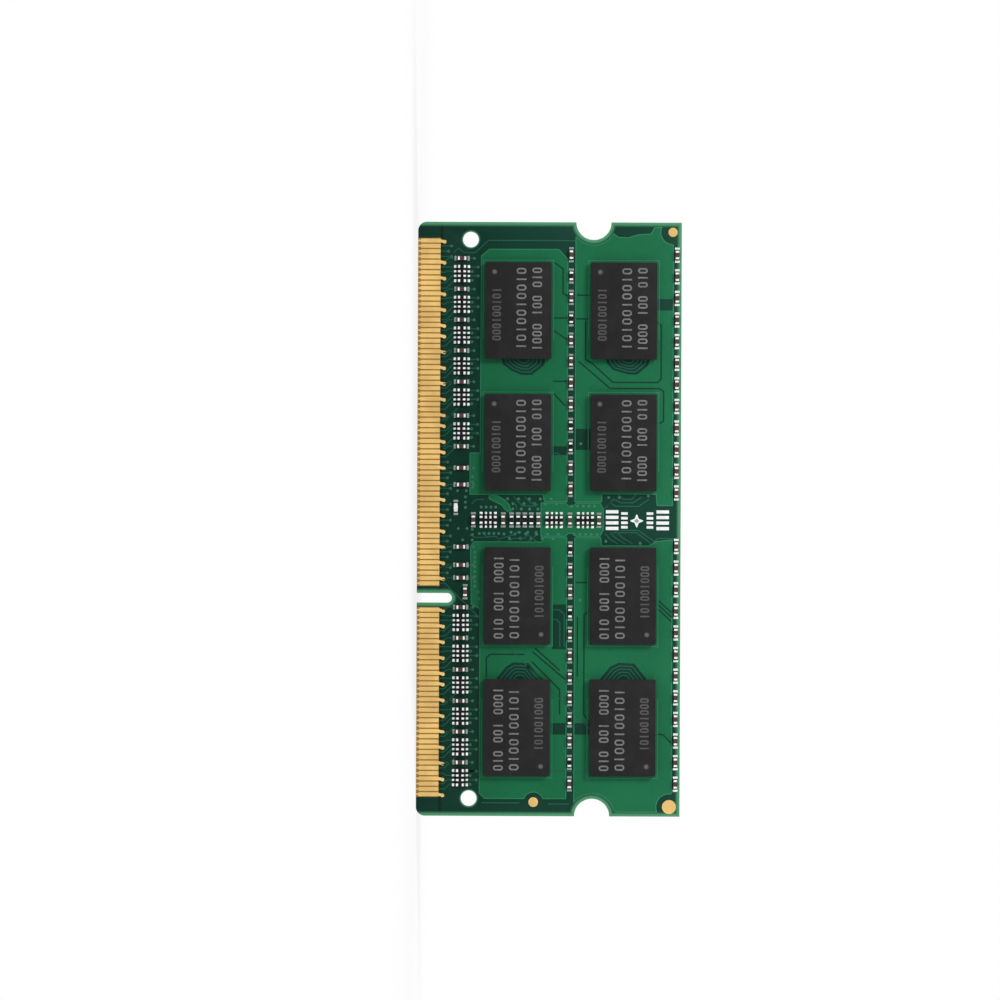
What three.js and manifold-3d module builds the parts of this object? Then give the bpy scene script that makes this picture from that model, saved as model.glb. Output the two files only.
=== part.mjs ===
// A 204-contact small-outline memory module. A bare circuit board carries gold contacts along its lower edge on both
// faces, sixteen memory packages soldered back to back, resistor arrays above the contacts, rows of ceramic
// capacitors, and one small configuration memory. Nothing on it moves.
//
// Millimetres. The origin is the middle of the contact edge, +X runs along the board, +Z from the contact edge to
// the top edge, and -Y points out of the front face.

import * as THREE from "three";
import { mergeVertices } from "three/addons/utils/BufferGeometryUtils.js";
import Module from "manifold-3d";

const wasm = await Module();
wasm.setup();

// ---------------------------------------------------------------- driving dimensions

const FRONT = -1;
const BACK = 1;

// The board. Its two corners at the contact edge are rounded, and its top corners are square.
const boardLength = 67.6;
const boardHeight = 30.0;
const boardThickness = 1.0;
const cornerRadius = 1.0;

// The half-round notches that the socket's latches snap into, one in each end.
const latchNotchRadius = 2.0;
const latchNotchHeight = 20.0;

// The two locating holes beside the contacts.
const holeDiameter = 1.8;
const holeFromEnd = 2.0;
const holeFromEdge = 6.0;

// The key notch, which lets the module in only one way round.
const keyFromEnd = 24.8;
const keyWidth = 1.1;
const keyDepth = 4.0;

// The edge contacts: two banks on each face, with the key notch between them. The back face's contacts lie half a
// pitch along from the front face's.
const contactPitch = 0.6;
const contactWidth = 0.45;
const contactTop = 2.55;
const contactSetback = 0.3;
const contactThickness = 0.04;
const contactTieWidth = 0.12;
const longBankCount = 66;
const shortBankCount = 36;
const keyGap = 3.0;

// A memory package: a moulded body over a ball grid in two fields, one along each long side.
const packageLength = 11.0;
const packageWidth = 7.5;
const packageHeight = 1.1;
const packageStandoff = 0.35;
const ballFieldWidth = 2.05;
const ballFieldSideInset = 0.325;
const ballFieldEndInset = 0.475;

// A four-element resistor array, scalloped between its terminals.
const arrayLength = 2.0;
const arrayWidth = 1.0;
const arrayHeight = 0.45;
const arrayTerminals = 4;
const scallopDepth = 0.15;
const scallopShare = 0.4;

// The arrays above the contacts, each station measured from the nearer end of the board.
const arrayRowHeight = 5.0;
const arrayStationsLeft = [5.9, 9.4, 12.9, 16.4, 19.95, 23.8];
const arrayStationsRight = [22.0, 18.5, 14.9, 11.35, 7.85, 4.35];

// The arrays in the centre column, which stand upright: one placed from the lower row of packages, and one on each
// side of the middle row of capacitors.
const centreColumn = 0.1;
const centreArrayBelowLowerRow = 3.35;
const centreArrayBelowMiddleRow = 1.85;
const centreArrayAboveMiddleRow = 1.7;

// The ceramic capacitors, which stand in rows of two halves on a thin supply rail.
const capacitorLength = 1.0;
const capacitorWidth = 0.5;
const capacitorHeight = 0.5;
const capacitorsPerHalf = 12;
const capacitorFromEnd = 3.7;
const middleRowFromCentre = 3.4;
const topRowFromCentre = 3.05;
const topRowFromTopEdge = 0.5;
const railWidth = 0.3;
const railThickness = 0.03;

// The configuration memory, on the back face only.
const eepromWidth = 2.0;
const eepromLength = 3.0;
const eepromHeight = 0.75;
const eepromAboveUpperRow = 1.65;

// How the length that four packages leave free is shared: each end strip, and the centre band.
const endStripShare = 0.195;
const centreBandShare = 0.271;

// How the height above the array row that two packages leave free is shared: below them, and above them.
const arrayClearance = 0.25;
const lowerGapShare = 0.21;
const topStripShare = 0.303;

// Straight segments in each full circle.
const circleSegments = 48;

// ---------------------------------------------------------------- places worked out from them

const halfLength = boardLength / 2;
const halfThickness = boardThickness / 2;
const keyX = halfLength - keyFromEnd;

const freeLength = boardLength - 4 * packageLength;
const endStrip = endStripShare * freeLength;
const centreBand = centreBandShare * freeLength;
const outerPackageX = halfLength - endStrip - packageLength / 2;
const innerPackageX = centreBand / 2 + packageLength / 2;

const arrayRowTop = arrayRowHeight + arrayWidth / 2 + arrayClearance;
const freeHeight = boardHeight - arrayRowTop - 2 * packageWidth;
const lowerRowZ = arrayRowTop + lowerGapShare * freeHeight + packageWidth / 2;
const upperRowZ = boardHeight - topStripShare * freeHeight - packageWidth / 2;
const middleRowZ = (lowerRowZ + upperRowZ) / 2;
const topRowZ = boardHeight - topRowFromTopEdge;

// ---------------------------------------------------------------- finishes

const finishes = {
  board: { color: 0x12583a, roughness: 0.42, metalness: 0.0 },
  contact: { color: 0xe1b464, roughness: 0.3, metalness: 1.0 },
  package: { color: 0x24211f, roughness: 0.65, metalness: 0.0 },
  resistor: { color: 0x1b1a1c, roughness: 0.45, metalness: 0.0 },
  capacitor: { color: 0x8b7263, roughness: 0.5, metalness: 0.0 },
  eeprom: { color: 0x1e1d1d, roughness: 0.6, metalness: 0.0 },
};

// ---------------------------------------------------------------- shapes

/** An outline drawn in X and Z, made solid between two places on Y. */
function slab(outline, lowY, highY) {
  const geometry = new THREE.ExtrudeGeometry(outline, {
    depth: highY - lowY,
    bevelEnabled: false,
    curveSegments: circleSegments / 2,
  });
  // The outline's Y becomes the model's Z, and its depth runs back from highY.
  const upright = new THREE.Matrix4().set(1, 0, 0, 0, 0, 0, -1, highY, 0, 1, 0, 0, 0, 0, 0, 1);
  return geometry.applyMatrix4(upright);
}

/** The same, between two distances off one face of the board. */
function layer(outline, side, near, far) {
  const a = side * (halfThickness + near);
  const b = side * (halfThickness + far);
  return slab(outline, Math.min(a, b), Math.max(a, b));
}

/** A rectangle in X and Z about a centre. */
function rectangle(centreX, centreZ, width, height) {
  const outline = new THREE.Shape();
  outline.moveTo(centreX - width / 2, centreZ - height / 2);
  outline.lineTo(centreX + width / 2, centreZ - height / 2);
  outline.lineTo(centreX + width / 2, centreZ + height / 2);
  outline.lineTo(centreX - width / 2, centreZ + height / 2);
  outline.closePath();
  return outline;
}

/** A geometry as a solid that can be joined to others. */
function toSolid(geometry) {
  geometry.deleteAttribute("normal");
  geometry.deleteAttribute("uv");
  const merged = mergeVertices(geometry, 1e-5);
  const vertProperties = new Float32Array(merged.attributes.position.array);
  const triVerts = new Uint32Array(merged.index.array);
  return new wasm.Manifold(new wasm.Mesh({ numProp: 3, vertProperties, triVerts }));
}

/** Several overlapping geometries joined into one. */
function join(geometries) {
  const solids = geometries.map(toSolid);
  const whole = solids.reduce((sum, solid) => sum.add(solid));
  const mesh = whole.getMesh();
  const joined = new THREE.BufferGeometry();
  joined.setAttribute("position", new THREE.BufferAttribute(new Float32Array(mesh.vertProperties), 3));
  joined.setIndex(new THREE.BufferAttribute(new Uint32Array(mesh.triVerts), 1));
  return joined;
}

// ---------------------------------------------------------------- the pieces

/** The bare board, with its key notch, latch notches and locating holes. */
function circuitBoard() {
  const keyRadius = keyWidth / 2;
  const keyCentreZ = keyDepth - keyRadius;
  const outline = new THREE.Shape();
  outline.moveTo(-halfLength + cornerRadius, 0);
  outline.lineTo(keyX - keyRadius, 0);
  outline.lineTo(keyX - keyRadius, keyCentreZ);
  outline.absarc(keyX, keyCentreZ, keyRadius, Math.PI, 0, true);
  outline.lineTo(keyX + keyRadius, 0);
  outline.lineTo(halfLength - cornerRadius, 0);
  outline.absarc(halfLength - cornerRadius, cornerRadius, cornerRadius, -Math.PI / 2, 0, false);
  outline.absarc(halfLength, latchNotchHeight, latchNotchRadius, (3 * Math.PI) / 2, Math.PI / 2, true);
  outline.lineTo(halfLength, boardHeight);
  outline.lineTo(-halfLength, boardHeight);
  outline.absarc(-halfLength, latchNotchHeight, latchNotchRadius, Math.PI / 2, -Math.PI / 2, true);
  outline.absarc(-halfLength + cornerRadius, cornerRadius, cornerRadius, Math.PI, (3 * Math.PI) / 2, false);
  for (const end of [-1, 1]) {
    const hole = new THREE.Path();
    hole.absarc(end * (halfLength - holeFromEnd), holeFromEdge, holeDiameter / 2, 0, 2 * Math.PI, true);
    outline.holes.push(hole);
  }
  return slab(outline, -halfThickness, halfThickness);
}

/** A bank of contacts as a comb: its teeth are the contacts, and its back stands for the traces they run into. */
function contactBank(side, nearestX, direction, count) {
  const first = direction > 0 ? nearestX : nearestX - (count - 1) * contactPitch;
  const last = first + (count - 1) * contactPitch;
  const half = contactWidth / 2;
  const tieZ = contactTop - contactTieWidth;
  const comb = new THREE.Shape();
  comb.moveTo(last + half, contactTop);
  comb.lineTo(first - half, contactTop);
  for (let i = 0; i < count; i += 1) {
    const x = first + i * contactPitch;
    if (i > 0) comb.lineTo(x - half, tieZ);
    comb.lineTo(x - half, contactSetback);
    comb.lineTo(x + half, contactSetback);
    if (i < count - 1) comb.lineTo(x + half, tieZ);
  }
  comb.closePath();
  return layer(comb, side, 0, contactThickness);
}

/** A memory package about its centre: the body, standing on its two ball fields. */
function memoryPackage(side, centreX, centreZ) {
  const sunk = (packageHeight - packageStandoff) / 4;
  const fieldOffset = packageWidth / 2 - ballFieldSideInset - ballFieldWidth / 2;
  const fieldLength = packageLength - 2 * ballFieldEndInset;
  const body = layer(rectangle(centreX, centreZ, packageLength, packageWidth), side, packageStandoff, packageHeight);
  const fields = [-1, 1].map((row) => {
    const field = rectangle(centreX, centreZ + row * fieldOffset, fieldLength, ballFieldWidth);
    return layer(field, side, 0, packageStandoff + sunk);
  });
  return join([body, ...fields]);
}

/** A resistor array about its centre, scalloped between its terminals, lying along the board or standing upright. */
function resistorArray(side, centreX, centreZ, upright) {
  const pitch = arrayLength / arrayTerminals;
  const scallopHalf = (scallopShare * pitch) / 2;
  const corners = [];
  for (const edge of [-1, 1]) {
    const edgeV = (edge * arrayWidth) / 2;
    // Along the lower edge to the right, then back along the upper edge.
    const along = -edge;
    corners.push([(-along * arrayLength) / 2, edgeV]);
    for (let i = 1; i < arrayTerminals; i += 1) {
      const u = along * (i * pitch - arrayLength / 2);
      corners.push([u - along * scallopHalf, edgeV]);
      corners.push([u, edgeV - edge * scallopDepth]);
      corners.push([u + along * scallopHalf, edgeV]);
    }
    corners.push([(along * arrayLength) / 2, edgeV]);
  }
  const outline = new THREE.Shape();
  corners.forEach(([u, v], i) => {
    const x = centreX + (upright ? -v : u);
    const z = centreZ + (upright ? u : v);
    if (i === 0) outline.moveTo(x, z);
    else outline.lineTo(x, z);
  });
  outline.closePath();
  return layer(outline, side, 0, arrayHeight);
}

/** Half a row of capacitors, from near the middle of the board to near one end, on their supply rail. */
function capacitorRow(side, half, fromCentre, rowZ) {
  const spread = halfLength - capacitorFromEnd - fromCentre;
  const pitch = spread / (capacitorsPerHalf - 1);
  const middleX = half * (fromCentre + spread / 2);
  const parts = [layer(rectangle(middleX, rowZ, spread, railWidth), side, 0, railThickness)];
  for (let i = 0; i < capacitorsPerHalf; i += 1) {
    const x = half * (fromCentre + i * pitch);
    parts.push(layer(rectangle(x, rowZ, capacitorLength, capacitorWidth), side, 0, capacitorHeight));
  }
  return join(parts);
}

/** The configuration memory, a leadless package on its own pads. */
function configurationMemory(side) {
  const outline = rectangle(centreColumn, upperRowZ + eepromAboveUpperRow, eepromWidth, eepromLength);
  return layer(outline, side, 0, eepromHeight);
}

// ---------------------------------------------------------------- the assembly

const module = new THREE.Group();

function addPiece(name, finish, geometry) {
  const mesh = new THREE.Mesh(geometry, new THREE.MeshStandardMaterial(finish));
  mesh.name = name;
  module.add(mesh);
}

/** Everything soldered or plated on one face of the board. */
function addFace(side, face) {
  // Half a pitch parts the two faces' contacts, shared equally about the key notch.
  const shift = (side * contactPitch) / 4;
  const longBankX = keyX - keyGap / 2 + shift;
  const shortBankX = keyX + keyGap / 2 + shift;
  addPiece(`contacts_${face}_long`, finishes.contact, contactBank(side, longBankX, -1, longBankCount));
  addPiece(`contacts_${face}_short`, finishes.contact, contactBank(side, shortBankX, 1, shortBankCount));

  const packageColumns = [-outerPackageX, -innerPackageX, innerPackageX, outerPackageX];
  let packages = 0;
  for (const z of [upperRowZ, lowerRowZ]) {
    for (const x of packageColumns) {
      packages += 1;
      addPiece(`memory_${face}_${packages}`, finishes.package, memoryPackage(side, x, z));
    }
  }

  const arrayPlaces = [
    ...arrayStationsLeft.map((station) => [station - halfLength, arrayRowHeight, false]),
    ...arrayStationsRight.map((station) => [halfLength - station, arrayRowHeight, false]),
    [centreColumn, lowerRowZ - centreArrayBelowLowerRow, true],
    [centreColumn, middleRowZ - centreArrayBelowMiddleRow, true],
    [centreColumn, middleRowZ + centreArrayAboveMiddleRow, true],
  ];
  arrayPlaces.forEach(([x, z, upright], i) => {
    addPiece(`resistor_array_${face}_${i + 1}`, finishes.resistor, resistorArray(side, x, z, upright));
  });

  for (const [half, halfName] of [[-1, "left"], [1, "right"]]) {
    const middle = capacitorRow(side, half, middleRowFromCentre, middleRowZ);
    const top = capacitorRow(side, half, topRowFromCentre, topRowZ);
    addPiece(`capacitors_${face}_middle_${halfName}`, finishes.capacitor, middle);
    addPiece(`capacitors_${face}_top_${halfName}`, finishes.capacitor, top);
  }
}

addPiece("circuit_board", finishes.board, circuitBoard());
addFace(FRONT, "front");
addFace(BACK, "back");
addPiece("configuration_memory", finishes.eeprom, configurationMemory(BACK));

export default module;
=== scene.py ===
"""A 204-contact small-outline memory module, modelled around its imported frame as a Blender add-on."""

import math

import bmesh
import bpy
from mathutils import Matrix, Vector


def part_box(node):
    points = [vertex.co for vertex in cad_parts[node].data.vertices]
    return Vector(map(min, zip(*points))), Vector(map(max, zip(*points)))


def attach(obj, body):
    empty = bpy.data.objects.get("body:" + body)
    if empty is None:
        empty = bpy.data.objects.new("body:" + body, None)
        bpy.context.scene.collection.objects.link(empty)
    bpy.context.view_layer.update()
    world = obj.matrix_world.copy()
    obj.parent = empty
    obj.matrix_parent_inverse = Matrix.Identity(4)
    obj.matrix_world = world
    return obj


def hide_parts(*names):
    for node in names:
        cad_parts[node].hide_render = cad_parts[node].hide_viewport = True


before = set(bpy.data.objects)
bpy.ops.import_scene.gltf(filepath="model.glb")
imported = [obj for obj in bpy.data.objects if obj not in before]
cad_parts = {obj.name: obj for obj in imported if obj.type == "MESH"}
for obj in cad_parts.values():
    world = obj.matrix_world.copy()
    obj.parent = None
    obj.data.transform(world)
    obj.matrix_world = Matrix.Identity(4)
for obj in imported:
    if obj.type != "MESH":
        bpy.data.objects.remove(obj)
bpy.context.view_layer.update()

bl_info = {
    "name": "Memory Module",
    "version": (1, 0, 0),
    "blender": (4, 5, 0),
    "location": "3D View > Sidebar > Memory Module",
    "description": "Models a small-outline memory module around its packed frame",
    "category": "Object",
}

MM = 0.001
FRONT = -1
BACK = 1
FACES = {"front": FRONT, "back": BACK}


def node_box(node):
    """A CAD node's lowest and highest corners, in millimetres."""
    low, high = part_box(node)
    return low / MM, high / MM


def node_middle(node):
    """The middle of a CAD node's box, in millimetres."""
    low, high = node_box(node)
    return (low + high) / 2


BOARD_LOW, BOARD_HIGH = node_box("circuit_board")
LEFT_END = BOARD_LOW.x
HALF_LENGTH = BOARD_HIGH.x
HEIGHT = BOARD_HIGH.z
HALF_THICKNESS = BOARD_HIGH.y

# The outline's own features, as the standard gives them.
LATCH_Z = 20.0
LATCH_RADIUS = 2.0
KEY_X = HALF_LENGTH - 24.8
KEY_RADIUS = 0.55
KEY_TOP = 4.0
HOLE_X = HALF_LENGTH - 2.0
HOLE_Z = 6.0
HOLE_RADIUS = 0.9

# The lower ends of the arrays above the contacts, and where the row of them lies.
ARRAY_LOW, ARRAY_HIGH = node_box("resistor_array_front_1")
ARRAY_Z = (ARRAY_LOW.z + ARRAY_HIGH.z) / 2
COLUMN_X = node_middle("resistor_array_front_13").x


# The rows of marks on a package: where each starts and its pitch along the package, how many places it has, its
# middle and height across the package, the places left empty, and what its ones are scattered by. Then the round
# mark in the package's corner.
MARK_ROWS = (
    (-4.98, 0.80, 12, 2.12, 0.94, (3, 7), 0.10),
    (-4.98, 0.95, 10, 0.33, 0.94, (), 0.37),
    (-2.65, 0.68, 9, -2.48, 0.84, (), 0.71),
)
CORNER_MARK = (-4.40, -2.72)

# The grid of solder balls under a package, in pitches from its middle.
BALL_ROWS = (-4, -3, -2, 2, 3, 4)
BALL_COLUMNS = range(-6, 7)

# Flat pieces are set this deep into the board, and stand this much above the copper.
SUNK = 0.02
TRACE_RISE = 0.006
RIM_RISE = 0.008
MARK_RISE = 0.005
VIA_RISE = 0.015
RIM_WIDTH = 0.11

# A chip part from its middle along its length: where its terminals start and end, where the solder beside them ends,
# and where its pads start and end. Then half its width, and the gap under its body.
CHIP_TERMINAL = (0.24, 0.50)
CHIP_SOLDER_END = 0.62
CHIP_PAD = (0.60, 0.87)
CHIP_HALF_WIDTH = 0.25
CHIP_GAP = 0.03


# ---------------------------------------------------------------- sizes and colours to change


class ModuleSizes(bpy.types.PropertyGroup):
    """Sizes of what the frame doesn't hold."""

    copper: bpy.props.FloatProperty(
        name="Copper", description="Height of the masked copper above the laminate",
        default=0.030 * MM, min=0.0, precision=6, unit="LENGTH")
    gap: bpy.props.FloatProperty(
        name="Gap", description="Width of the gaps that part the copper pours",
        default=0.17 * MM, min=0.0, precision=6, unit="LENGTH")
    trace: bpy.props.FloatProperty(
        name="Trace", description="Width of a signal trace",
        default=0.14 * MM, min=0.0, precision=6, unit="LENGTH")
    via: bpy.props.FloatProperty(
        name="Via", description="Radius of a via's ring",
        default=0.17 * MM, min=0.0, precision=6, unit="LENGTH")
    sawn_edge: bpy.props.FloatProperty(
        name="Sawn edge", description="Rounding of the board's sawn edges",
        default=0.04 * MM, min=0.0, precision=6, unit="LENGTH")
    contact_width: bpy.props.FloatProperty(
        name="Contact width", description="Width of an edge contact",
        default=0.45 * MM, min=0.0, precision=6, unit="LENGTH")
    contact_pitch: bpy.props.FloatProperty(
        name="Contact pitch", description="Distance between the middles of neighbouring contacts",
        default=0.6 * MM, min=0.0, precision=6, unit="LENGTH")
    ball: bpy.props.FloatProperty(
        name="Solder ball", description="Radius of a package's solder ball",
        default=0.225 * MM, min=0.0, precision=6, unit="LENGTH")
    ball_pitch: bpy.props.FloatProperty(
        name="Ball pitch", description="Distance between the middles of neighbouring solder balls",
        default=0.8 * MM, min=0.0, precision=6, unit="LENGTH")
    standoff: bpy.props.FloatProperty(
        name="Standoff", description="Height of a package's underside above the board",
        default=0.35 * MM, min=0.0, precision=6, unit="LENGTH")
    carrier: bpy.props.FloatProperty(
        name="Carrier", description="Thickness of the laminate that carries a package's moulding",
        default=0.18 * MM, min=0.0, precision=6, unit="LENGTH")
    mark_stroke: bpy.props.FloatProperty(
        name="Mark stroke", description="Width of a stroke of the plain laser marks",
        default=0.175 * MM, min=0.0, precision=6, unit="LENGTH")


class ModuleColours(bpy.types.PropertyGroup):
    """Base colours of the finishes."""

    mask: bpy.props.FloatVectorProperty(
        name="Mask", description="Solder mask over bare laminate",
        default=(0.0050, 0.0400, 0.0250), size=3, min=0.0, max=1.0, subtype="COLOR")
    mask_copper: bpy.props.FloatVectorProperty(
        name="Mask on copper", description="Solder mask over a copper pour",
        default=(0.0095, 0.1300, 0.0530), size=3, min=0.0, max=1.0, subtype="COLOR")
    mask_edge: bpy.props.FloatVectorProperty(
        name="Mask at the edge", description="Solder mask beside the board's edge, where light comes through",
        default=(0.070, 0.270, 0.135), size=3, min=0.0, max=1.0, subtype="COLOR")
    mask_trace: bpy.props.FloatVectorProperty(
        name="Mask on traces", description="Solder mask over thin copper traces",
        default=(0.016, 0.095, 0.060), size=3, min=0.0, max=1.0, subtype="COLOR")
    mask_via: bpy.props.FloatVectorProperty(
        name="Mask on vias", description="Solder mask over the rings of vias",
        default=(0.048, 0.165, 0.105), size=3, min=0.0, max=1.0, subtype="COLOR")
    # A painted highlight on the mask along the rims of the copper pours.
    mask_rim_highlight: bpy.props.FloatVectorProperty(
        name="Painted rim highlight", description="Painted highlight on the solder mask along the rim of a copper pour",
        default=(0.028, 0.185, 0.095), size=3, min=0.0, max=1.0, subtype="COLOR")
    laminate: bpy.props.FloatVectorProperty(
        name="Laminate", description="Bare glass and epoxy between the contacts",
        default=(0.360, 0.200, 0.050), size=3, min=0.0, max=1.0, subtype="COLOR")
    sawn: bpy.props.FloatVectorProperty(
        name="Sawn laminate", description="The board's sawn edge",
        default=(0.330, 0.360, 0.170), size=3, min=0.0, max=1.0, subtype="COLOR")
    gold: bpy.props.FloatVectorProperty(
        name="Gold", description="Plated gold",
        default=(0.680, 0.450, 0.155), size=3, min=0.0, max=1.0, subtype="COLOR")
    tin: bpy.props.FloatVectorProperty(
        name="Tin", description="Reflowed solder and tinned terminals",
        default=(0.740, 0.740, 0.730), size=3, min=0.0, max=1.0, subtype="COLOR")
    # Painted shade on the solder between a terminal and its pad.
    fillet: bpy.props.FloatVectorProperty(
        name="Solder fillet", description="Painted shade on the steep solder between a terminal and its pad",
        default=(0.055, 0.054, 0.056), size=3, min=0.0, max=1.0, subtype="COLOR")
    mould: bpy.props.FloatVectorProperty(
        name="Moulding", description="Moulded epoxy of a package",
        default=(0.0165, 0.0155, 0.0165), size=3, min=0.0, max=1.0, subtype="COLOR")
    mark: bpy.props.FloatVectorProperty(
        name="Laser mark", description="Plain laser marks on a package",
        default=(0.190, 0.188, 0.186), size=3, min=0.0, max=1.0, subtype="COLOR")
    ceramic: bpy.props.FloatVectorProperty(
        name="Ceramic", description="Fired ceramic of a capacitor",
        default=(0.080, 0.042, 0.033), size=3, min=0.0, max=1.0, subtype="COLOR")
    alumina: bpy.props.FloatVectorProperty(
        name="Alumina", description="White substrate of a resistor",
        default=(0.600, 0.590, 0.560), size=3, min=0.0, max=1.0, subtype="COLOR")
    coat: bpy.props.FloatVectorProperty(
        name="Resistor coat", description="Black glass over a resistor's film",
        default=(0.0110, 0.0105, 0.0115), size=3, min=0.0, max=1.0, subtype="COLOR")


def size(name):
    """One of the sizes, in millimetres."""
    return getattr(bpy.context.scene.memory_module_sizes, name) / MM


def colour(name):
    """One of the base colours."""
    return tuple(getattr(bpy.context.scene.memory_module_colours, name))


def lighter(shade, share):
    """A colour times a number."""
    return tuple(min(1.0, part * share) for part in shade)


# ---------------------------------------------------------------- shader sheets


class Wire:
    """A shader socket that takes part in arithmetic."""

    def __init__(self, sheet, socket):
        self.sheet = sheet
        self.socket = socket

    def calculate(self, operation, *values):
        """The result of a Math node's operation on some values."""
        return self.sheet.node("Math", {"operation": operation}, dict(enumerate(values)))

    def __add__(self, other):
        return self.calculate("ADD", self, other)

    def __radd__(self, other):
        return self.calculate("ADD", other, self)

    def __sub__(self, other):
        return self.calculate("SUBTRACT", self, other)

    def __rsub__(self, other):
        return self.calculate("SUBTRACT", other, self)

    def __mul__(self, other):
        return self.calculate("MULTIPLY", self, other)

    def __rmul__(self, other):
        return self.calculate("MULTIPLY", other, self)

    def __truediv__(self, other):
        return self.calculate("DIVIDE", self, other)

    def __pow__(self, other):
        return self.calculate("POWER", self, other)

    def __abs__(self):
        return self.calculate("ABSOLUTE", self)

    def __gt__(self, other):
        return self.calculate("GREATER_THAN", self, other)

    def __lt__(self, other):
        return self.calculate("LESS_THAN", self, other)

    def least(self, other):
        return self.calculate("MINIMUM", self, other)

    def most(self, other):
        return self.calculate("MAXIMUM", self, other)

    def floor(self):
        return self.calculate("FLOOR", self)

    def fraction(self):
        return self.calculate("FRACT", self)


class Sheet:
    """One material's shader nodes."""

    def __init__(self, name):
        self.material = bpy.data.materials.new(name)
        self.material.use_nodes = True
        self.tree = self.material.node_tree
        self.tree.nodes.clear()

    def node(self, kind, settings, values, output=0):
        """A node of a kind, with its settings made first and then its sockets' values or links."""
        made = self.tree.nodes.new("ShaderNode" + kind)
        for name, value in settings.items():
            setattr(made, name, value)
        for key, value in values.items():
            if isinstance(value, Wire):
                self.tree.links.new(value.socket, made.inputs[key])
            else:
                made.inputs[key].default_value = value
        return Wire(self, made.outputs[output])

    def place(self):
        """The point on the object, in millimetres."""
        metres = self.node("TexCoord", {}, {}, "Object")
        return self.node("VectorMath", {"operation": "SCALE"}, {0: metres, "Scale": 1 / MM})

    def parts(self, vector):
        """The three numbers of a vector."""
        first = self.node("SeparateXYZ", {}, {0: vector})
        return [Wire(self, socket) for socket in first.socket.node.outputs]

    def noise(self, place, scale, detail=2.0):
        """Soft random values from 0 to 1, with about this many lumps in a millimetre."""
        return self.node("TexNoise", {}, {"Vector": place, "Scale": scale, "Detail": detail})

    def stretched(self, place, share):
        """A place whose three numbers are each times a number."""
        return self.node("VectorMath", {"operation": "MULTIPLY"}, {0: place, 1: share})

    def ramp(self, value, low, high, first=0.0, last=1.0):
        """A smooth step from the first number to the last."""
        settings = {"interpolation_type": "SMOOTHSTEP"}
        return self.node("MapRange", settings, {0: value, 1: low, 2: high, 3: first, 4: last})

    def blend(self, share, first, second):
        """A colour between two colours."""
        values = {0: share}
        for key, shade in ((6, first), (7, second)):
            values[key] = shade if isinstance(shade, Wire) else (*shade, 1.0)
        return self.node("Mix", {"data_type": "RGBA"}, values, 2)

    def bump(self, height, distance, strength=1.0):
        """A normal raised by a height of up to a distance in millimetres."""
        return self.node("Bump", {}, {"Height": height, "Strength": strength, "Distance": distance * MM})

    def finish(self, base, roughness, **others):
        """Ends the sheet in a Principled surface and gives its material."""
        values = {"Base Color": base if isinstance(base, Wire) else (*base, 1.0), "Roughness": roughness}
        names = {"metallic": "Metallic", "normal": "Normal", "specular": "Specular IOR Level"}
        for name, value in others.items():
            values[names[name]] = value
        surface = self.node("BsdfPrincipled", {}, values)
        return self.end(surface)

    def end(self, surface):
        """Links a surface to the sheet's output and gives its material."""
        output = self.tree.nodes.new("ShaderNodeOutputMaterial")
        self.tree.links.new(surface.socket, output.inputs["Surface"])
        return self.material


def edge_band(sheet, x, z):
    """How near a point is to the board's outline: 1 beside it, and 0 from half a millimetre in."""
    side = HALF_LENGTH - abs(x)
    top = HEIGHT - z
    over = abs(x) - HALF_LENGTH
    beside = z - LATCH_Z
    latch = (over * over + beside * beside) ** 0.5 - LATCH_RADIUS
    across = x - KEY_X
    above = (z - (KEY_TOP - KEY_RADIUS)).most(0.0)
    key = (across * across + above * above) ** 0.5 - KEY_RADIUS
    return sheet.ramp(side.least(top).least(latch).least(key), 0.12, 0.60, 1.0, 0.0)


def hole_ring(sheet, x, z):
    """1 at the brim of a locating hole, and 0 a little way out."""
    across = abs(x) - HOLE_X
    up = z - HOLE_Z
    return sheet.ramp((across * across + up * up) ** 0.5 - HOLE_RADIUS, 0.03, 0.22, 0.7, 0.0)


def contact_field(x, y, z):
    """1 over the bare laminate that the contacts lie on, and 0 elsewhere."""
    long_low, long_high = node_box("contacts_front_long")
    short_low, short_high = node_box("contacts_front_short")
    shift = node_box("contacts_back_long")[0].x - long_low.x
    along = x - shift * (y > 0.0)
    long_bank = (along > long_low.x - 0.08) * (along < long_high.x + 0.08)
    short_bank = (along > short_low.x - 0.08) * (along < short_high.x + 0.08)
    return (long_bank + short_bank) * (z < long_high.z + 0.03)


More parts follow.
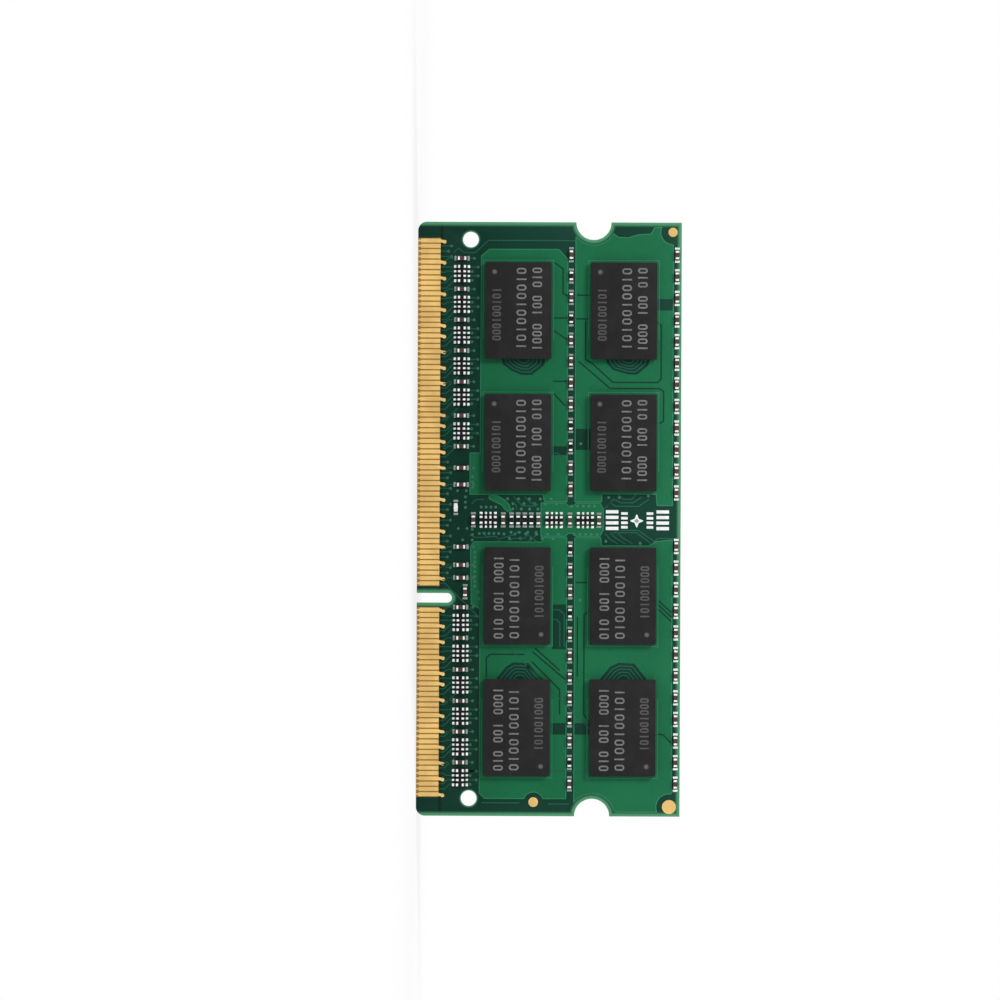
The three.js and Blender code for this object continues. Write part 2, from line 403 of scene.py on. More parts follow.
def mask_sheet(name, shade, on_board=False):
    """Glossy green solder mask, with the board's edges and bare laminate on the board itself."""
    sheet = Sheet(name)
    place = sheet.place()
    x, y, z = sheet.parts(place)
    broad = sheet.noise(place, 0.10, 1.0)
    fine = sheet.noise(place, 2.6, 3.0)
    weave = sheet.noise(sheet.stretched(place, (1.0, 1.0, 6.0)), 1.4, 2.0)
    # Painted shade and sheen: it is darkest near the contacts and a little paler towards the top edge.
    high = tuple(part * share for part, share in zip(shade, (1.75, 1.22, 1.32)))
    base = sheet.blend(sheet.ramp(z, 4.0, 13.0), lighter(shade, 0.66), shade)
    base = sheet.blend(sheet.ramp(z, 15.0, 29.0), base, high)
    base = sheet.blend(sheet.ramp(broad, 0.35, 0.65) * 0.4, base, lighter(shade, 0.8))
    base = sheet.blend(fine * 0.35, base, lighter(shade, 0.75))
    base = sheet.blend(weave * 0.18, base, lighter(shade, 1.5))
    if on_board:
        foot = node_box("contacts_front_long")[1].z
        shadowed = (z > foot) * sheet.ramp(z, foot + 0.15, foot + 0.5, 0.65, 0.0)
        base = sheet.blend(shadowed, base, lighter(shade, 0.2))
        lit = edge_band(sheet, x, z).most(hole_ring(sheet, x, z))
        base = sheet.blend(lit, base, colour("mask_edge"))
        bare = sheet.blend(sheet.noise(place, 3.0), colour("laminate"), lighter(colour("laminate"), 0.7))
        base = sheet.blend(contact_field(x, y, z), base, bare)
        layers = sheet.node(
            "TexWave", {"bands_direction": "Y"}, {"Vector": place, "Scale": 1.5, "Distortion": 0.6})
        sawn = sheet.blend(layers, lighter(colour("sawn"), 0.55), colour("sawn"))
        sawn = sheet.blend(sheet.noise(place, 5.0), sawn, lighter(colour("sawn"), 0.75))
        base = sheet.blend(abs(y) < HALF_THICKNESS - 0.035, base, sawn)
    roughness = 0.34 + 0.16 * fine
    normal = sheet.bump(fine + 0.5 * weave, 0.006)
    return sheet.finish(base, roughness, normal=normal, specular=0.06)


def gold_sheet():
    """Plated gold, with fine wear along the way the board is pushed in."""
    sheet = Sheet("plated_gold")
    place = sheet.place()
    cloud = sheet.noise(place, 0.35, 2.0)
    wear = sheet.noise(sheet.stretched(place, (9.0, 1.0, 0.7)), 2.0, 3.0)
    shade = colour("gold")
    base = sheet.blend(sheet.ramp(cloud, 0.3, 0.7), lighter(shade, 0.86), lighter(shade, 1.08))
    base = sheet.blend(sheet.ramp(wear, 0.5, 0.8) * 0.35, base, lighter(shade, 0.62))
    roughness = 0.36 + 0.22 * wear
    return sheet.finish(base, roughness, metallic=0.85, normal=sheet.bump(wear, 0.004))


def tin_sheet():
    """Reflowed solder, with a soft uneven surface."""
    sheet = Sheet("reflowed_tin")
    place = sheet.place()
    lumps = sheet.noise(place, 2.4, 2.0)
    grain = sheet.noise(place, 14.0, 2.0)
    shade = colour("tin")
    base = sheet.blend(sheet.ramp(lumps, 0.3, 0.7), lighter(shade, 0.85), lighter(shade, 1.15))
    roughness = 0.30 + 0.22 * grain
    return sheet.finish(base, roughness, metallic=0.70, normal=sheet.bump(lumps + 0.3 * grain, 0.02))


def painted_shade_fillet_sheet():
    """The steep side of a solder joint, dark with painted shade."""
    sheet = Sheet("solder_fillet")
    place = sheet.place()
    lumps = sheet.noise(place, 5.0, 2.0)
    base = sheet.blend(lumps, lighter(colour("fillet"), 0.5), lighter(colour("fillet"), 1.8))
    return sheet.finish(base, 0.35 + 0.2 * lumps, metallic=0.75, normal=sheet.bump(lumps, 0.02))


def plain_digits(sheet, u, v, row):
    """1 on the strokes of a row of plain noughts and ones, which stand for no number."""
    start, pitch, count, middle, height, gaps, seed = row
    stroke = size("mark_stroke")
    along = (u - start) / pitch
    number = along.floor()
    across = (along - number - 0.5) * pitch
    up = v - middle
    radius = 0.27 * pitch
    beyond = (abs(up) - (height / 2 - radius)).most(0.0)
    reach = (across * across + beyond * beyond) ** 0.5
    nought = abs(reach - radius) < stroke / 2
    one = (abs(across) < stroke / 2) * (abs(up) < height / 2 + stroke / 2)
    # The golden ratio's fraction scatters the ones among the noughts.
    is_one = (number * 0.618 + seed).fraction() > 0.68
    shown = (number > -0.5) * (number < count - 0.5)
    for gap in gaps:
        shown = shown * (abs(number - gap) > 0.5)
    return (nought * (1 - is_one) + one * is_one) * shown


def mould_sheet(marked):
    """Matt black moulded epoxy, with rows of plain laser marks if it is a package's."""
    sheet = Sheet("package_mould_marked" if marked else "package_mould")
    place = sheet.place()
    grain = sheet.noise(place, 9.0, 3.0)
    cloud = sheet.noise(place, 0.5, 2.0)
    base = sheet.blend(grain, lighter(colour("mould"), 0.7), lighter(colour("mould"), 1.4))
    base = sheet.blend(sheet.ramp(cloud, 0.4, 0.7) * 0.5, base, lighter(colour("mould"), 1.5))
    roughness = 0.50 + 0.16 * grain
    if marked:
        map_place = sheet.node("UVMap", {"uv_map": "marking"}, {})
        u, v, _ = sheet.parts(map_place)
        first, second, third = (plain_digits(sheet, u, v, row) for row in MARK_ROWS)
        across = u - CORNER_MARK[0]
        up = v - CORNER_MARK[1]
        corner = sheet.ramp((across * across + up * up) ** 0.5, 0.12, 0.36, 0.55, 0.0)
        patchy = sheet.ramp(sheet.noise(place, 2.2, 2.0), 0.35, 0.65, 0.72, 1.0)
        base = sheet.blend((first + second) * patchy, base, colour("mark"))
        base = sheet.blend(corner, base, colour("mark"))
        base = sheet.blend(third * patchy * 0.42, base, colour("mark"))
    return sheet.finish(base, roughness, normal=sheet.bump(grain, 0.006), specular=0.06)


def fired_sheet(name, shade, roughness, specular, speckle=0.25):
    """A fired or glazed ceramic of one colour, with a fine speckle."""
    sheet = Sheet(name)
    place = sheet.place()
    cloud = sheet.noise(place, 1.1, 2.0)
    grain = sheet.noise(place, 12.0, 3.0)
    base = sheet.blend(cloud, lighter(shade, 0.80), lighter(shade, 1.15))
    base = sheet.blend(grain * speckle, base, lighter(shade, 0.55))
    return sheet.finish(base, roughness + 0.15 * grain, normal=sheet.bump(grain, 0.006), specular=specular)


def finishes():
    """Every material of the module by name, made once: a solder's or carrier's own colour stands here."""
    made = bpy.data.materials
    if "plated_gold" not in made:
        mask_sheet("mask_on_board", colour("mask"), on_board=True)
        mask_sheet("mask_on_copper", colour("mask_copper"))
        mask_sheet("mask_on_traces", colour("mask_trace"))
        mask_sheet("mask_on_vias", colour("mask_via"))
        mask_sheet("mask_on_rims", colour("mask_rim_highlight"))
        gold_sheet()
        tin_sheet()
        painted_shade_fillet_sheet()
        mould_sheet(True)
        mould_sheet(False)
        fired_sheet("carrier_laminate", (0.030, 0.050, 0.026), 0.45, 0.3)
        fired_sheet("fired_ceramic", colour("ceramic"), 0.42, 0.15)
        fired_sheet("resistor_coat", colour("coat"), 0.30, 0.06)
        fired_sheet("resistor_alumina", colour("alumina"), 0.50, 0.4)
        fired_sheet("bare_solder", (0.84, 0.86, 0.85), 0.45, 0.4, 0.05)
        fired_sheet("dull_solder", (0.290, 0.345, 0.315), 0.40, 0.3, 0.5)
    return made


# ---------------------------------------------------------------- modelling


def begin(name, *finish_names):
    """An empty piece in edit mode with its materials, to which shapes are added."""
    bpy.ops.object.select_all(action="DESELECT")
    bpy.ops.mesh.primitive_plane_add(size=1)
    piece = bpy.context.object
    piece.name = name
    piece.data.name = name
    for finish_name in finish_names:
        piece.data.materials.append(finishes()[finish_name])
    bpy.ops.object.mode_set(mode="EDIT")
    bpy.ops.mesh.select_mode(type="FACE")
    bpy.ops.mesh.delete(type="VERT")
    return piece


def paint(number):
    """Gives the selected faces one of the piece's materials."""
    bpy.context.object.active_material_index = number
    bpy.ops.object.material_slot_assign()


def add_block(low, high, finish_number=0, rounding=0.0, steps=1):
    """A box between two corners, with its edges rounded."""
    low = Vector(low)
    high = Vector(high)
    bpy.ops.mesh.select_all(action="DESELECT")
    bpy.ops.mesh.primitive_cube_add(size=1, calc_uvs=False, location=(low + high) / 2, scale=high - low)
    paint(finish_number)
    if rounding:
        bpy.ops.mesh.bevel(offset=rounding, segments=steps, affect="EDGES")


def add_slope(low, high, shift, test, finish_number=0):
    """A box between two corners, with the corners that pass a test moved to slope its sides."""
    add_block(low, high, finish_number)
    shape = bmesh.from_edit_mesh(bpy.context.object.data)
    chosen = [corner for corner in shape.verts if corner.select and test(corner.co)]
    bpy.ops.mesh.select_mode(type="VERT")
    bpy.ops.mesh.select_all(action="DESELECT")
    for corner in chosen:
        corner.select_set(True)
    bpy.ops.transform.translate(value=shift)
    bpy.ops.mesh.select_mode(type="FACE")


def add_outline(points, depth=0.0):
    """A flat face with this outline in X and Z, at one place on Y."""
    bpy.ops.mesh.select_all(action="DESELECT")
    bpy.ops.mesh.primitive_circle_add(vertices=len(points), calc_uvs=False, fill_type="NGON")
    piece = bpy.context.object
    shape = bmesh.from_edit_mesh(piece.data)
    face = next(face for face in shape.faces if face.select)
    for corner, (x, z) in zip(face.verts, points):
        corner.co = (x, depth, z)
    bmesh.update_edit_mesh(piece.data)


def raise_outlines(rise):
    """Makes every flat face of the piece a closed plate."""
    bpy.ops.mesh.select_all(action="SELECT")
    bpy.ops.mesh.extrude_region_move(TRANSFORM_OT_translate={"value": (0, rise, 0)})
    bpy.ops.mesh.select_all(action="SELECT")
    bpy.ops.mesh.normals_make_consistent(inside=False)


def ribbon(points, width):
    """The outline of a line of some width, mitred where it turns."""
    line = [Vector(point) for point in points]
    left = []
    right = []
    for i, point in enumerate(line):
        before = (point - line[i - 1]).normalized() if i else (line[1] - point).normalized()
        after = (line[i + 1] - point).normalized() if i < len(line) - 1 else before
        normal = Vector((-before.y, before.x))
        mitre = (normal + Vector((-after.y, after.x))).normalized()
        reach = width / 2 / max(0.4, mitre.dot(normal))
        left.append(point + mitre * reach)
        right.append(point - mitre * reach)
    return [tuple(point) for point in left + right[::-1]]


def arc(x, z, radius, start, end, steps):
    """Points along part of a circle, between two angles in degrees."""
    angles = [math.radians(start + (end - start) * i / steps) for i in range(steps + 1)]
    return [(x + radius * math.cos(angle), z + radius * math.sin(angle)) for angle in angles]


def disc(x, z, radius, sides=20):
    """Points round a circle."""
    return arc(x, z, radius, 0, 360 * (sides - 1) / sides, sides - 1)


def from_left(points):
    """Points given from the board's left end, as points in the frame."""
    return [(x + LEFT_END, z) for x, z in points]


def leave_edit():
    """Ends the shaping of the piece in edit mode."""
    bpy.ops.object.mode_set(mode="OBJECT")


def choose(piece):
    """Selects one piece and makes it active."""
    bpy.ops.object.select_all(action="DESELECT")
    piece.select_set(True)
    bpy.context.view_layer.objects.active = piece


def on_face(face, x, z, turn=0.0):
    """The place on one face of the board of what is modelled on the front about the origin."""
    facing = Matrix.Rotation(math.pi if face == BACK else 0.0, 4, "Z")
    turned = Matrix.Rotation(math.radians(turn), 4, "Y")
    return Matrix.Translation((x, face * HALF_THICKNESS, z)) @ facing @ turned


def copy_of(template, name, place):
    """A copy of a template with its own mesh, moved to its place."""
    twin = template.copy()
    twin.data = template.data.copy()
    twin.data.transform(place)
    twin.name = name
    twin.data.name = name
    bpy.context.collection.objects.link(twin)
    return twin


def joined(name, pieces):
    """Several pieces made one."""
    bpy.ops.object.select_all(action="DESELECT")
    for piece in pieces:
        piece.select_set(True)
    bpy.context.view_layer.objects.active = pieces[0]
    if len(pieces) > 1:
        bpy.ops.object.join()
    pieces[0].name = name
    pieces[0].data.name = name
    return pieces[0]


def discard(*pieces):
    """Removes templates once their copies are in place."""
    for piece in pieces:
        bpy.data.objects.remove(piece)


def finish(piece, slot, *nodes, smooth=0.0):
    """Ends a piece: metres, its body, and the CAD nodes it stands for. The finish's slot is not used."""
    choose(piece)
    piece.scale = (MM, MM, MM)
    bpy.ops.object.transform_apply(location=False, rotation=False, scale=True)
    if smooth:
        bpy.ops.object.shade_smooth_by_angle(angle=math.radians(smooth))
    for layer in [layer for layer in piece.data.uv_layers if layer.name != "marking"]:
        piece.data.uv_layers.remove(layer)
    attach(piece, "root")
    if nodes:
        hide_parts(*nodes)


# ---------------------------------------------------------------- the copper layout

# The pours, the clear places in them and the gaps that part them, from the board's left end and its contact edge.
POURS = (
    [(3.1, 8.1), (3.9, 7.2), (26.3, 7.15), (26.3, 6.0), (31.0, 6.0), (31.0, 14.3), (31.8, 14.5),
     (31.8, 17.05), (4.2, 17.05), (3.1, 16.0)],
    arc(0, LATCH_Z, 2.6, -52, 60, 12)
    + [(1.7, 22.8), (1.75, 23.9), (1.4, 25.0), (1.3, 26.5), (0.6, 26.9)]
    + arc(1.1, 29.0, 1.4, 245, 358, 8)
    + [(2.6, 29.05), (32.2, 29.05), (32.2, 27.3), (30.9, 27.2), (30.9, 21.0), (31.8, 21.0), (31.8, 17.95)],
    [(36.4, 6.5), (36.9, 6.1), (43.5, 6.2), (44.0, 7.2), (65.0, 7.2), (65.6, 7.8)]
    + arc(66.0, 13.35, 1.15, 250, 110, 8)
    + [(65.6, 17.05), (35.9, 17.05), (35.9, 14.4), (36.4, 14.2)],
    [(35.9, 17.95)] + arc(67.6, LATCH_Z, 2.6, 232, 105, 12) + [(67.1, 22.8)]
    + arc(66.5, 28.8, 1.5, 293, 190, 8)
    + [(65.0, 29.05), (36.1, 29.05), (36.3, 27.2), (36.8, 26.4), (36.8, 21.0), (35.9, 20.9)],
    [(31.95, 14.1), (35.75, 14.1), (35.75, 16.9), (35.4, 17.2), (35.4, 17.8), (35.75, 18.1), (35.75, 20.8),
     (35.0, 21.2), (32.6, 21.2), (31.95, 20.8), (31.95, 18.1), (32.3, 17.8), (32.3, 17.2), (31.95, 16.9)],
    [(31.15, 8.2), (31.5, 8.2), (32.2, 9.6), (32.9, 10.2), (32.9, 10.7), (32.2, 10.5), (31.6, 9.9), (31.15, 9.1)],
)

# The dark places into which the packages' traces fan out, each from the package's edge and back to it.
FANS = (
    [(15.5, 14.5), (16.3, 14.4), (17.4, 13.0), (17.4, 11.8), (16.9, 10.6), (16.2, 9.7), (15.5, 9.5)],
    [(15.5, 26.5), (16.3, 26.2), (17.3, 25.0), (17.3, 24.0), (16.8, 22.2), (16.0, 21.5), (15.5, 21.4)],
    [(52.1, 14.6), (51.5, 13.8), (50.2, 12.8), (50.1, 11.0), (50.6, 10.2), (52.1, 9.0)],
    [(52.1, 26.3), (51.6, 25.9), (50.2, 24.8), (50.1, 23.0), (50.6, 22.0), (52.1, 20.8)],
)

# Those, and the straight clear strips that cross the pours.
CLEARINGS = FANS + (
    [(8.7, 27.3), (10.0, 27.3), (10.0, 29.2), (8.7, 29.2)],
    [(23.5, 17.8), (25.9, 17.8), (25.9, 19.7), (23.5, 19.7)],
    [(25.5, 15.3), (26.5, 15.3), (26.5, 17.2), (25.5, 17.2)],
    [(57.0, 15.3), (58.3, 15.3), (58.3, 19.8), (57.0, 19.8)],
    [(43.5, 15.4), (48.6, 15.4), (48.6, 17.2), (43.5, 17.2)],
)

GAPS = (
    [(11.3, 27.2), (11.7, 27.7), (17.8, 27.7), (18.2, 27.3), (18.2, 22.2), (16.0, 19.8), (15.6, 19.1),
     (11.2, 19.1)],
    [(22.9, 27.4), (22.6, 28.0), (19.2, 28.0), (18.9, 27.5), (18.9, 21.9), (15.8, 18.3)],
    [(4.5, 15.4), (5.3, 16.5), (8.1, 16.5), (8.5, 17.2)],
    [(8.3, 18.1), (8.3, 19.6)],
    [(11.0, 18.0), (11.0, 19.4)],
    [(10.9, 17.2), (10.9, 15.4)],
    [(13.5, 17.2), (12.3, 15.4)],
    [(18.1, 17.2), (18.1, 15.4)],
    [(20.9, 16.8), (19.4, 15.4)],
    [(42.9, 27.4), (44.6, 29.2)],
    [(43.4, 27.4), (45.1, 29.2)],
    [(43.9, 27.4), (45.6, 29.2)],
    [(58.2, 27.4), (58.3, 28.1), (59.4, 29.2)],
    [(41.0, 18.1), (41.0, 19.5)],
    [(44.2, 19.6), (44.7, 19.05), (56.0, 19.05), (57.0, 19.8)],
    [(44.9, 18.3), (51.7, 18.3)],
    [(51.0, 16.3), (48.5, 13.5)],
    [(52.0, 16.9), (48.9, 13.2)],
    [(56.0, 16.3), (53.2, 16.3), (50.0, 13.1)],
    [(51.8, 7.95), (49.6, 7.95), (49.2, 8.4), (49.2, 12.3)],
)

# The gold marks: where each is, and its radius.
ALIGNMENT_MARKS = ((1.1, 29.0, 0.52), (66.0, 13.35, 0.55), (66.5, 28.8, 0.8))

# Lone traces in the strips between the packages and at the ends.
LONE_TRACES = (
    [(20.2, 18.0), (20.9, 18.7), (22.6, 18.7), (23.4, 19.5)],
    [(26.3, 15.5), (26.3, 16.0), (27.5, 17.0)],
    [(44.1, 15.5), (44.1, 16.2), (44.6, 16.8), (48.3, 16.8)],
    [(45.2, 15.5), (45.2, 15.9), (45.6, 16.3), (48.3, 16.3)],
    [(3.5, 4.0), (3.0, 4.6), (3.5, 5.2), (3.5, 6.5), (2.1, 8.0), (2.1, 18.1)],
    [(66.1, 7.4), (66.1, 11.8)],
    [(66.2, 15.0), (66.2, 17.4)],
)

# Ground contacts, counted from each bank's left end, which run straight into a via.
GROUND_LONG = (0, 4, 7, 10, 13, 16, 18, 21, 24, 27, 30, 33, 35, 38, 40, 43, 46, 49, 52, 55, 58, 61, 64)
GROUND_SHORT = (0, 3, 6, 9, 12, 14, 17, 20, 23, 26, 29, 32, 35)

# Lone chip parts beside the arrays above the contacts, measured from the board's left end.
LONE_PARTS = (28.0, 29.9, 36.98, 39.04, 40.5)
BESIDE_ARRAY = -1.75

# The parts down the middle of the board by their height: capacitors, and dark resistors between two of the arrays.
COLUMN_CAPACITORS = (6.4, 9.8, 13.8, 17.4, 20.7)
COLUMN_RESISTORS = (10.75, 11.5, 12.25, 13.0)

# The pale part at the foot of the middle and the capacitor beside the key notch.
PALE_PART = (32.5, 4.4)
KEY_PART = (42.1, 5.5)

# The rows' capacitors: how many to a half, and which of the middle row's are dark resistors.
ROW_COUNT = 12
DARK_PLACES = {"left": (1, 3, 8, 9), "right": (0, 3, 8, 10)}

# The heights at which the traces from the arrays and from the spare contacts end in vias, taking turns.
ARRAY_VIA_HEIGHTS = (6.85, 6.15)
SPARE_VIA_HEIGHTS = (3.8, 3.45)
LONE_VIA_HEIGHT = 6.4

# The lines round a package: how far off it, and how far along its long sides.
FRAME_GAP = 0.26
FRAME_LENGTH = 2.5

# The empty pads, as the places of their rows along the board, the heights of their columns and half their sizes,
# with the star in the middle as its points' reaches and angles in one quarter turn.
OUTER_PADS = ((32.93, 33.56, 34.19, 34.82), (22.2, 27.95), (0.19, 0.72))
INNER_PADS = ((33.12, 33.65, 34.17, 34.68), (23.6, 26.5), (0.15, 0.38))
STAR_MIDDLE = (33.95, 25.0)
STAR_QUARTER = ((0.76, 0), (0.66, 7), (0.33, 45), (0.66, 83))
STAR_HEART = 0.28


def array_middles(face_name):
    """The middles in X of the arrays above the contacts."""
    return [node_middle(f"resistor_array_{face_name}_{i}").x for i in range(1, 13)]


def contact_middles(face_name, bank):
    """The middles in X of one bank's contacts."""
    low, high = node_box(f"contacts_{face_name}_{bank}")
    pitch = size("contact_pitch")
    first = low.x + size("contact_width") / 2
    count = round((high.x - low.x - size("contact_width")) / pitch) + 1
    return [first + i * pitch for i in range(count)]


def ground_contacts(face_name):
    """The middles in X of the contacts that run straight into a via."""
    found = [contact_middles(face_name, "long")[i] for i in GROUND_LONG]
    return found + [contact_middles(face_name, "short")[i] for i in GROUND_SHORT]


def signal_contacts(face_name):
    """The middles in X of the other contacts."""
    ground = ground_contacts(face_name)
    every = contact_middles(face_name, "long") + contact_middles(face_name, "short")
    return [x for x in every if x not in ground]


def lone_part_places(face_name):
    """The middles in X of the chip parts that stand between the arrays."""
    arrays = array_middles(face_name)
    beside = [x + BESIDE_ARRAY for x in arrays]
    return beside + [arrays[5] - BESIDE_ARRAY] + [station + LEFT_END for station in LONE_PARTS]


def terminal_offsets(low, high):
    """The middles of an array's four terminals, from its own middle."""
    pitch = (high.x - low.x) / 4
    return [(i - 1.5) * pitch for i in range(4)]


def contact_traces(face_name):
    """Traces between the contacts and the arrays, and on to the vias above them, with the vias."""
    traces = []
    vias = []
    top = node_box(f"contacts_{face_name}_long")[1].z - 0.05
    pad = ARRAY_LOW.z - 0.15
    free = signal_contacts(face_name)
    for middle in array_middles(face_name):
        nearest = sorted(sorted(free, key=lambda x: abs(x - middle))[:4])
        for i, (offset, contact) in enumerate(zip(terminal_offsets(ARRAY_LOW, ARRAY_HIGH), nearest)):
            free.remove(contact)
            terminal = middle + offset
            aside = abs(contact - terminal)
            turn = min(3.05 + 0.12 * abs(i - 1.5), 3.4)
            line = [(contact, top), (terminal, pad)]
            if aside > 0.08:
                line[1:1] = [(contact, turn), (terminal, turn + aside)]
            traces.append(line)
            out = ARRAY_VIA_HEIGHTS[i % 2]
            traces.append([(terminal, ARRAY_HIGH.z + 0.1), (terminal, out)])
            vias.append((terminal, out))
    for i, contact in enumerate(free):
        height = SPARE_VIA_HEIGHTS[i % 2]
        traces.append([(contact, top), (contact, height)])
        vias.append((contact, height))
    for x in lone_part_places(face_name):
        traces.append([(x, pad - 0.3), (x, 3.5), (x + 0.25, 3.2), (x + 0.25, 2.9)])
        traces.append([(x, ARRAY_HIGH.z + 0.3), (x, LONE_VIA_HEIGHT - 0.05)])
        vias.append((x, LONE_VIA_HEIGHT))
    return traces, vias


def column_traces():
    """The bundles in the middle of the board and at the ends of its strips, with their vias."""
    traces = [
        [(31.2, 11.0), (31.7, 11.4), (32.3, 12.0), (32.3, 13.6)],
        [(31.9, 10.9), (32.3, 11.3), (32.7, 11.3)],
        [(35.3, 7.4), (35.8, 7.9), (35.8, 9.0), (36.3, 9.5)],
        [(35.3, 12.4), (35.8, 12.9), (36.3, 13.6)],
        [(31.2, 12.2), (31.9, 12.9), (32.2, 13.8)],
        [(36.5, 9.0), (36.0, 9.6), (35.6, 11.0), (35.2, 11.6)],
        [(36.4, 10.4), (36.0, 10.9), (36.0, 12.2), (35.5, 12.8)],
        [(36.4, 12.6), (35.8, 13.4), (35.2, 13.5)],
        [(32.2, 21.6), (31.5, 22.4), (31.9, 23.2), (31.9, 24.6), (31.2, 25.6)],
        [(32.5, 21.4), (31.9, 22.0), (32.3, 22.6), (32.3, 25.2), (31.5, 26.4)],
        [(31.0, 22.9), (31.5, 23.5), (31.5, 24.4), (30.9, 25.0)],
        [(35.4, 21.4), (36.1, 22.0), (36.6, 22.9)],
        [(35.3, 22.0), (35.9, 22.6), (36.6, 23.7)],
        [(35.3, 22.8), (35.9, 23.4), (36.6, 24.6)],
        [(35.05, 22.3), (35.05, 25.2), (36.3, 27.0), (35.95, 27.4), (35.95, 29.3)],
        [(35.3, 22.3), (35.3, 25.0), (36.5, 26.6)],
        [(32.1, 6.2), (31.6, 6.7), (31.6, 7.6)],
        [(35.6, 6.0), (35.9, 6.6), (35.9, 8.2)],
    ]
    vias = [(32.45, 7.3 + 0.55 * i) for i in range(4)] + [(35.45, 7.1 + 0.55 * i) for i in range(5)]
    vias += [(31.5 + 0.55 * (i % 2), 10.3 + 0.62 * i) for i in range(10)]
    vias += [(35.5 + 0.5 * (i % 2), 9.9 + 0.62 * i) for i in range(11)]
    vias += [(32.3, 17.6 + 0.65 * i) for i in range(5)] + [(35.5, 17.9 + 0.65 * i) for i in range(5)]
    vias += [(32.65, 10.9 + 0.95 * i) for i in range(4)] + [(35.3, 10.7 + 0.95 * i) for i in range(4)]
    vias += [(29.0 + 0.6 * i, 6.3) for i in range(3)] + [(37.6 + 0.55 * i, 6.6) for i in range(8)]
    vias += [(31.3 + 0.6 * i, 5.5) for i in range(3)] + [(34.4 + 0.6 * i, 6.3) for i in range(4)]
    vias += [(31.3, 21.8), (31.3, 23.0), (31.1, 26.3), (36.3, 21.5), (36.5, 25.4), (30.6, 4.6), (30.6, 5.6),
             (34.9, 4.7), (34.9, 5.7), (36.2, 5.2), (42.1, 7.0), (42.9, 7.1), (25.2, 18.6), (43.0, 18.6)]
    # Each fan's traces follow its outline, one within another.
    for outline in FANS:
        foot = Vector(((outline[0][0] + outline[-1][0]) / 2, (outline[0][1] + outline[-1][1]) / 2))
        for share in (0.82, 0.64, 0.46, 0.28):
            traces.append([tuple(foot + (Vector(point) - foot) * share) for point in outline])
    return [from_left(line) for line in traces], from_left(vias)


def rim_lines(face_name):
    """The raised rims of the pours, and the lines round the packages, which carry a painted highlight."""
    rims = [from_left([*outline, outline[0]]) for outline in POURS]
    for number in range(1, 9):
        low, high = node_box(f"memory_{face_name}_{number}")
        left = low.x - FRAME_GAP
        right = high.x + FRAME_GAP
        foot = low.z - FRAME_GAP
        top = high.z + FRAME_GAP
        near, far = (left, right - FRAME_LENGTH) if low.x < 0 else (right, left + FRAME_LENGTH)
        rims.append([(far, foot), (near, foot), (near, top), (far, top)])
    return rims


# ---------------------------------------------------------------- operators


class ModelBoard(bpy.types.Operator):
    """Model the laminate with its mask, notches and holes"""

    bl_idname = "memory_module.board"
    bl_label = "Board"

    def execute(self, context):
        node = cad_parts["circuit_board"]
        board = bpy.data.objects.new("board_laminate", node.data.copy())
        board.data.name = "board_laminate"
        board.data.materials.clear()
        board.data.materials.append(finishes()["mask_on_board"])
        board.data.transform(Matrix.Scale(1 / MM, 4))
        bpy.context.collection.objects.link(board)
        choose(board)
        bpy.ops.object.mode_set(mode="EDIT")
        bpy.ops.mesh.select_all(action="SELECT")
        bpy.ops.mesh.remove_doubles(threshold=0.001)
        bpy.ops.mesh.dissolve_limited(angle_limit=math.radians(1))
        bpy.ops.mesh.select_mode(type="EDGE")
        bpy.ops.mesh.select_all(action="DESELECT")
        shape = bmesh.from_edit_mesh(board.data)
        for edge in shape.edges:
            flat = [abs(face.normal.y) > 0.5 for face in edge.link_faces]
            edge.select_set(any(flat) and not all(flat))
        bpy.ops.mesh.bevel(offset=size("sawn_edge"), segments=2, affect="EDGES")
        leave_edit()
        finish(board, "board_mask", "circuit_board", smooth=35)
        return {"FINISHED"}


class ModelCopper(bpy.types.Operator):
    """Model the masked copper pours with the gaps that part them"""

    bl_idname = "memory_module.copper"
    bl_label = "Copper pours"

    def execute(self, context):
        pours = begin("copper_pours", "mask_on_copper")
        for outline in POURS:
            add_outline(from_left(outline), SUNK)
        raise_outlines(-size("copper") - SUNK)
        leave_edit()
        gaps = begin("pour_gaps")
        for outline in CLEARINGS:
            add_outline(from_left(outline), 0.5)
        for line in GAPS:
            add_outline(from_left(ribbon(line, size("gap"))), 0.5)
        raise_outlines(-1.0)
        leave_edit()
        choose(pours)
        bpy.ops.object.modifier_add(type="BOOLEAN")
        cut = pours.modifiers[-1]
        cut.operation = "DIFFERENCE"
        cut.solver = "EXACT"
        cut.use_self = True
        cut.object = gaps
        bpy.ops.object.modifier_apply(modifier=cut.name)
        for face_name, face in FACES.items():
            finish(copy_of(pours, f"copper_pours_{face_name}", on_face(face, 0, 0)), "board_mask")
        discard(pours, gaps)
        return {"FINISHED"}


